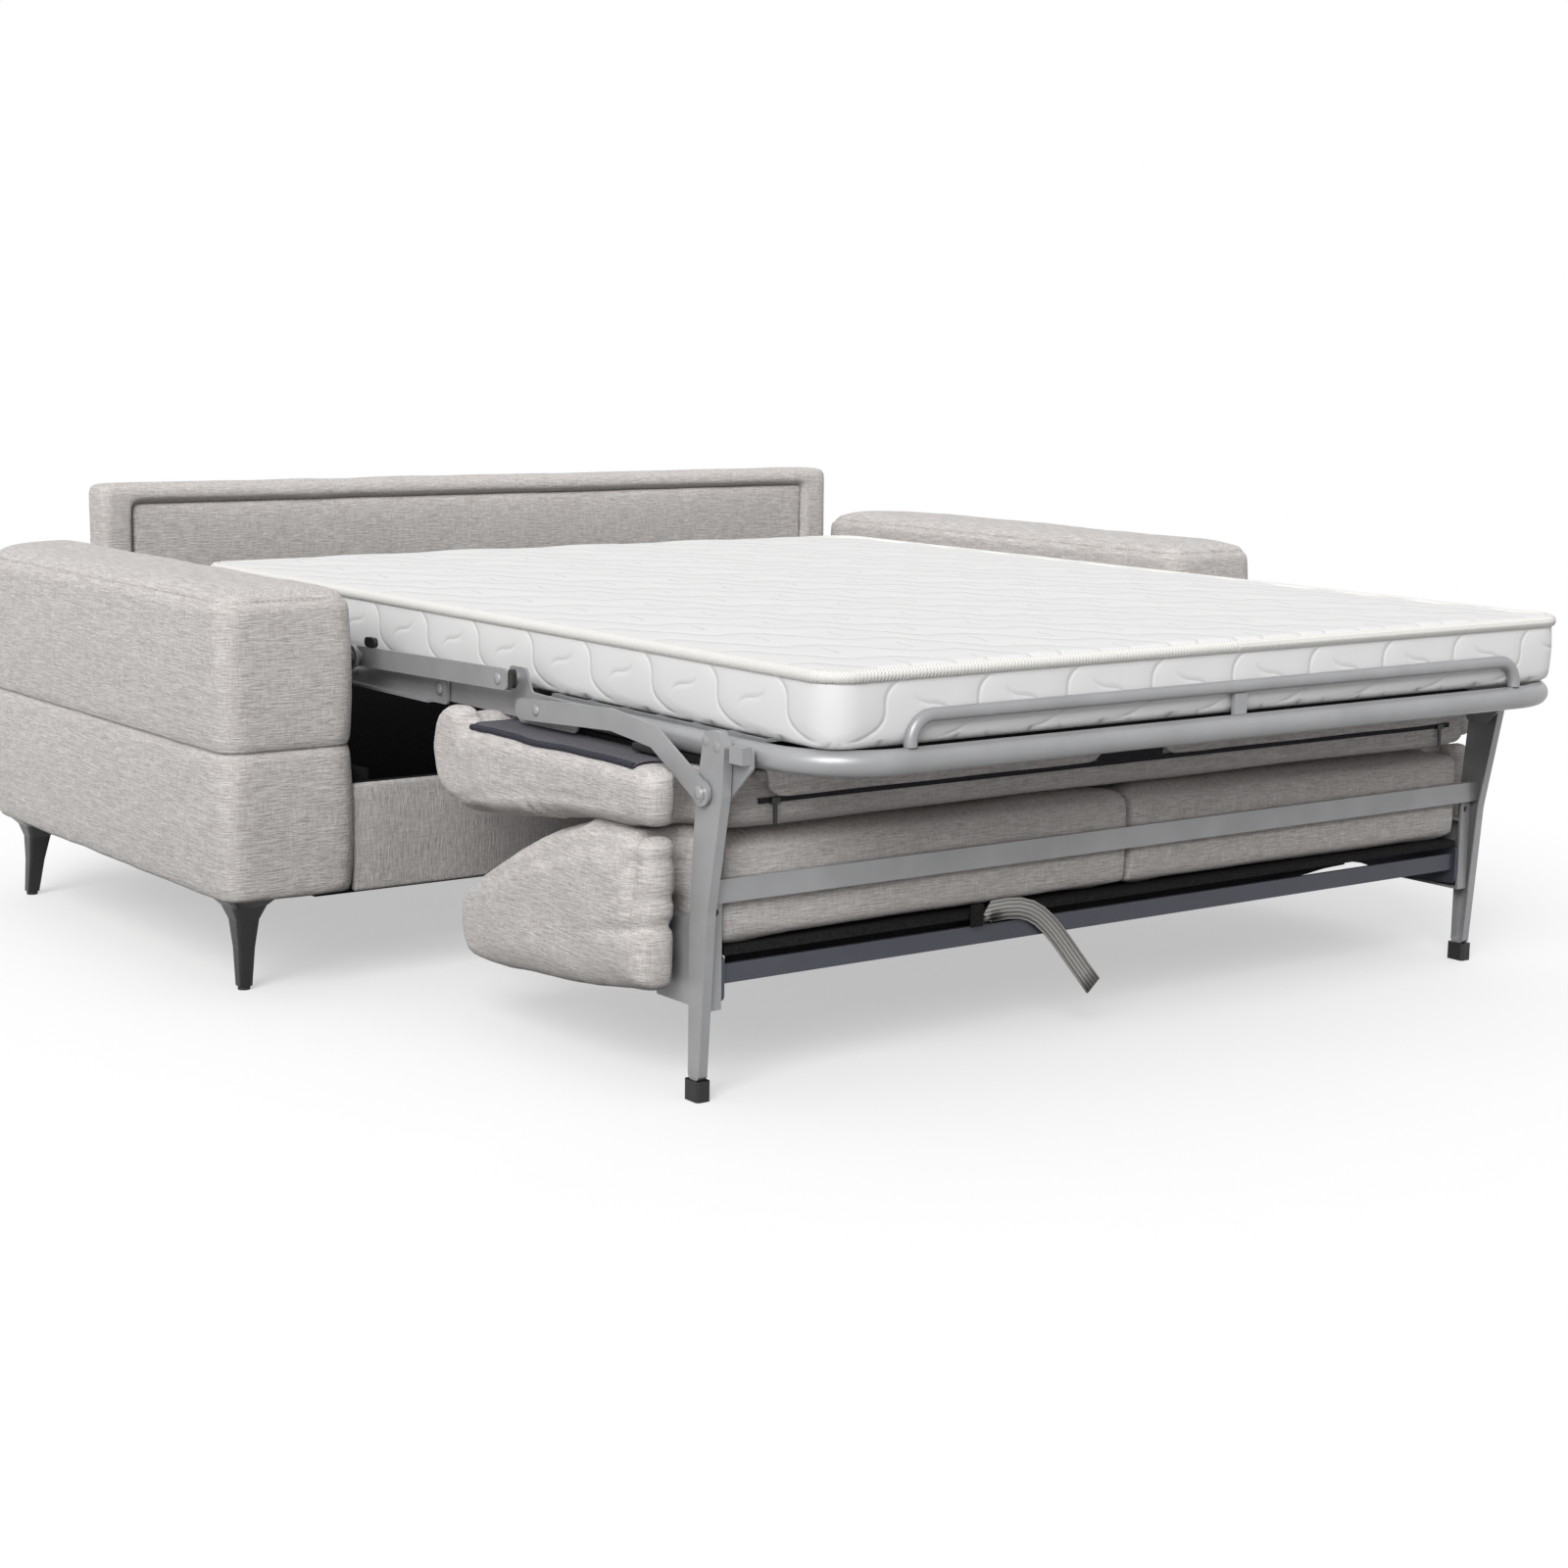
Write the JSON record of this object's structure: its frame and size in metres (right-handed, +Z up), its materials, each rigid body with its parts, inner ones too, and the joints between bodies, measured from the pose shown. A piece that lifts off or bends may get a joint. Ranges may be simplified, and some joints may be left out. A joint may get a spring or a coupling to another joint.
{
  "type": "sofa bed",
  "caption": "Sofa bed with boxed fabric arms and a steel frame that unfolds from the seat well into a double bed with a quilted mattress, seat and back cushions folding under.",
  "frame": {"origin": "on the floor, under the middle of the open bed's bounding box", "axes": "+X across the sofa, +Y from the bed's foot towards the sofa's back, +Z up"},
  "size_m": [2.102, 2.082, 0.704],
  "materials": {
    "sofa_fabric": "matt slubby weave",
    "black_lining": "matt non-woven",
    "grey_steel": "satin powder coat",
    "dark_steel": "satin powder coat",
    "zinc": "plated",
    "net_wire": "satin",
    "mattress_ticking": "quilted knit",
    "timber": "raw board",
    "black_foot": "satin black",
    "plastic": "moulded",
    "zip_cloth": "tape",
    "strap_webbing": "ribbed webbing"
  },
  "bodies": {
    "sofa_base": {"left_arm_cover": "sofa_fabric", "right_arm_cover": "sofa_fabric", "arm_frames": "timber", "back_cover": "sofa_fabric", "back_panel": "sofa_fabric", "back_frame": "timber", "rear_panel": "sofa_fabric", "apron_board": "black_lining", "apron_cover": "sofa_fabric", "ledger_rails": "black_lining", "well_linings": "black_lining", "dust_cover": "black_lining", "sofa_feet": "black_foot", "foot_glides": "plastic", "foot_studs": "zinc", "mount_plates": "grey_steel", "mount_bolts": "zinc", "base_pivot_pins": "zinc"},
    "front_swing_arms": {"left_front_swing_arm": "grey_steel", "right_front_swing_arm": "grey_steel", "link_pivot_pins": "zinc"},
    "rear_swing_arms_body": {"rear_swing_arms": "grey_steel"},
    "upper_links_body": {"upper_links": "grey_steel", "link_buffers": "plastic"},
    "head_section": {"head_rails": "grey_steel", "head_side_tubes": "grey_steel", "head_cross_tubes": "grey_steel", "head_net": "net_wire", "head_pivot_pins": "zinc", "mattress_head": "mattress_ticking"},
    "bridge_section": {"bridge_bars": "grey_steel", "bridge_cross_tubes": "grey_steel", "mattress_middle": "mattress_ticking"},
    "foot_section": {"foot_side_tubes": "grey_steel", "foot_end_tube": "grey_steel", "foot_cross_tube": "grey_steel", "foot_net": "net_wire", "mattress_stop_bar": "grey_steel", "foot_brackets": "grey_steel", "leg_carriers": "grey_steel", "leg_hangers": "grey_steel", "foot_pivot_pins": "zinc", "seat_board": "black_lining", "seat_cushion": "sofa_fabric", "seat_flaps": "sofa_fabric", "zip_tape": "zip_cloth", "mattress_foot": "mattress_ticking"},
    "left_zip": {"left_zip_slider": "plastic"},
    "right_zip": {"right_zip_slider": "plastic"},
    "leg_frame": {"left_leg": "grey_steel", "right_leg": "grey_steel", "leg_caps": "plastic", "leg_crossbar": "grey_steel", "backrest_brackets": "grey_steel", "backrest_side_plates": "dark_steel", "backrest_rods": "dark_steel", "backrest_panel": "black_lining", "left_back_cushion": "sofa_fabric", "right_back_cushion": "sofa_fabric", "pull_strap": "strap_webbing"}
  },
  "joints": [
    {"name": "bed_fold", "type": "hinge", "parent": "sofa_base", "child": "front_swing_arms", "pos_m": [0, 0.15108, 0.21334], "axis": [-1, 0, 0], "range_deg": [0, 110]},
    {"name": "rear_arm_swing", "type": "hinge", "parent": "sofa_base", "child": "rear_swing_arms_body", "pos_m": [0, 0.65108, 0.21334], "axis": [-1, 0, 0], "range_deg": [0, 110]},
    {"name": "head_level", "type": "hinge", "parent": "front_swing_arms", "child": "head_section", "pos_m": [0, 0.138, 0.463], "axis": [-1, 0, 0], "range_deg": [-110, 0]},
    {"name": "bridge_fold", "type": "hinge", "parent": "head_section", "child": "bridge_section", "pos_m": [0, -0.124, 0.463], "axis": [-1, 0, 0], "range_deg": [0, 80], "deforming": ["mattress_middle"]},
    {"name": "foot_fold", "type": "hinge", "parent": "bridge_section", "child": "foot_section", "pos_m": [0, -0.369, 0.463], "axis": [-1, 0, 0], "range_deg": [0, 100]},
    {"name": "leg_fold", "type": "hinge", "parent": "foot_section", "child": "leg_frame", "pos_m": [0, -0.829, 0.41], "axis": [-1, 0, 0], "range_deg": [0, 95]},
    {"name": "upper_link_swing", "type": "hinge", "parent": "front_swing_arms", "child": "upper_links_body", "pos_m": [0, 0.077, 0.493], "axis": [-1, 0, 0], "range_deg": [-89.53, 0]},
    {"name": "left_zip_slide", "type": "slide", "parent": "foot_section", "child": "left_zip", "axis": [1, 0, 0], "range_m": [0, 0.58]},
    {"name": "right_zip_slide", "type": "slide", "parent": "foot_section", "child": "right_zip", "axis": [-1, 0, 0], "range_m": [0, 0.58]}
  ],
  "couplings": [
    {"joint": "rear_arm_swing", "follows": "bed_fold", "ratio": 1},
    {"joint": "head_level", "follows": "bed_fold", "ratio": -1},
    {"joint": "bridge_fold", "follows": "bed_fold", "ratio": 0.72727},
    {"joint": "foot_fold", "follows": "bed_fold", "ratio": 0.90909},
    {"joint": "leg_fold", "follows": "bed_fold", "ratio": 0.86364},
    {"joint": "upper_link_swing", "follows": "bed_fold", "ratio": -0.81391}
  ]
}
